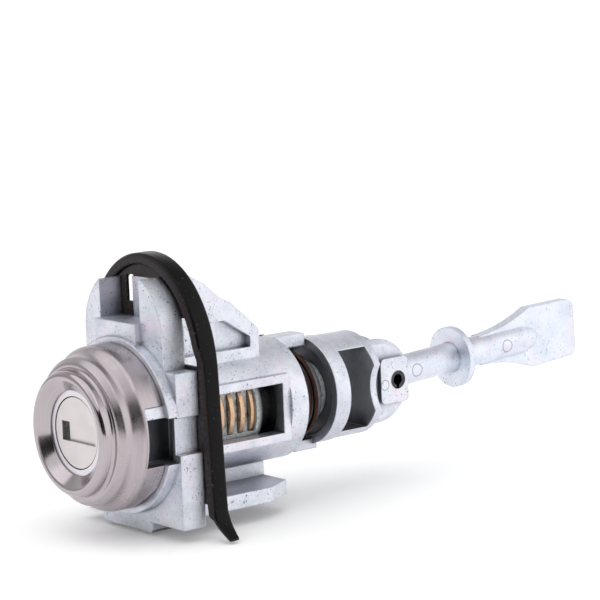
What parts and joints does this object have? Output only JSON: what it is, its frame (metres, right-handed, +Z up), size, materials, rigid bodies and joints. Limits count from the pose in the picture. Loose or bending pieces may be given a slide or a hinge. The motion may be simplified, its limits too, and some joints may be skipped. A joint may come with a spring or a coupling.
{
  "type": "car door lock cylinder",
  "caption": "Car door lock cylinder: keyed plug in a flanged die-cast housing with face cap, arched rubber gasket, return spring, yoke and a pivoting connecting rod.",
  "frame": {"origin": "on the lock axis, in the plane of the rear edge of the face cap's skirt", "axes": "-Y out through the mouth of the face cap, +Y along the lock axis to the connecting rod, +Z up towards the flange's arch"},
  "size_m": [0.041, 0.1166, 0.047],
  "materials": {
    "zinc_casting": "zinc-plated die casting, satin",
    "stainless_sheet": "brushed stainless sheet",
    "satin_steel": "satin steel",
    "black_rubber": "satin moulded rubber",
    "spring_steel": "dark oiled spring steel",
    "coppered_spring": "dark copper-brown coated spring wire",
    "wafer_brass": "stamped brass"
  },
  "bodies": {
    "case": {"housing": "zinc_casting", "face_cap": "stainless_sheet", "mouth_ring": "satin_steel", "gasket": "black_rubber", "return_spring": "coppered_spring"},
    "plug": {"plug": "zinc_casting", "plug_seal": "black_rubber", "face_disc": "satin_steel", "shutter_pin": "spring_steel", "shutter_spring": "spring_steel", "spring_sleeve": "satin_steel", "yoke": "zinc_casting", "yoke_clip": "satin_steel", "roll_pin": "spring_steel", "wafer_spring_1": "spring_steel", "wafer_spring_2": "spring_steel", "wafer_spring_3": "spring_steel", "wafer_spring_4": "spring_steel", "wafer_spring_5": "spring_steel", "wafer_spring_6": "spring_steel", "wafer_spring_7": "spring_steel", "wafer_spring_8": "spring_steel"},
    "shutter": {"shutter": "satin_steel"},
    "rod": {"connecting_rod": "zinc_casting"},
    "wafer_1": {"wafer_1": "wafer_brass"},
    "wafer_2": {"wafer_2": "wafer_brass"},
    "wafer_3": {"wafer_3": "wafer_brass"},
    "wafer_4": {"wafer_4": "wafer_brass"},
    "wafer_5": {"wafer_5": "wafer_brass"},
    "wafer_6": {"wafer_6": "wafer_brass"},
    "wafer_7": {"wafer_7": "wafer_brass"},
    "wafer_8": {"wafer_8": "wafer_brass"}
  },
  "joints": [
    {"name": "plug_turn", "type": "hinge", "parent": "case", "child": "plug", "pos_m": [0, 0, 0], "axis": [0, 1, 0], "range_deg": [-70, 70], "stiffness_Nm_per_rad": 0.08, "deforming": ["return_spring"]},
    {"name": "rod_swing", "type": "hinge", "parent": "plug", "child": "rod", "pos_m": [0, 0.0577, 0], "axis": [1, 0, 0], "range_deg": [-22, 22]},
    {"name": "shutter_flap", "type": "hinge", "parent": "plug", "child": "shutter", "pos_m": [0, -0.0068, 0.0026], "axis": [1, 0, 0], "range_deg": [0, 80], "stiffness_Nm_per_rad": 0.0005, "springref_deg": -28.65, "deforming": ["shutter_spring"]},
    {"name": "wafer_1_slide", "type": "slide", "parent": "plug", "child": "wafer_1", "axis": [1, 0, 0], "range_m": [-0.00035, 0.00035], "stiffness_N_per_m": 200, "deforming": ["wafer_spring_1"]},
    {"name": "wafer_2_slide", "type": "slide", "parent": "plug", "child": "wafer_2", "axis": [1, 0, 0], "range_m": [-0.00035, 0.00035], "stiffness_N_per_m": 200, "deforming": ["wafer_spring_2"]},
    {"name": "wafer_3_slide", "type": "slide", "parent": "plug", "child": "wafer_3", "axis": [1, 0, 0], "range_m": [-0.00035, 0.00035], "stiffness_N_per_m": 200, "deforming": ["wafer_spring_3"]},
    {"name": "wafer_4_slide", "type": "slide", "parent": "plug", "child": "wafer_4", "axis": [1, 0, 0], "range_m": [-0.00035, 0.00035], "stiffness_N_per_m": 200, "deforming": ["wafer_spring_4"]},
    {"name": "wafer_5_slide", "type": "slide", "parent": "plug", "child": "wafer_5", "axis": [1, 0, 0], "range_m": [-0.00035, 0.00035], "stiffness_N_per_m": 200, "deforming": ["wafer_spring_5"]},
    {"name": "wafer_6_slide", "type": "slide", "parent": "plug", "child": "wafer_6", "axis": [1, 0, 0], "range_m": [-0.00035, 0.00035], "stiffness_N_per_m": 200, "deforming": ["wafer_spring_6"]},
    {"name": "wafer_7_slide", "type": "slide", "parent": "plug", "child": "wafer_7", "axis": [1, 0, 0], "range_m": [-0.00035, 0.00035], "stiffness_N_per_m": 200, "deforming": ["wafer_spring_7"]},
    {"name": "wafer_8_slide", "type": "slide", "parent": "plug", "child": "wafer_8", "axis": [1, 0, 0], "range_m": [-0.00035, 0.00035], "stiffness_N_per_m": 200, "deforming": ["wafer_spring_8"]}
  ]
}
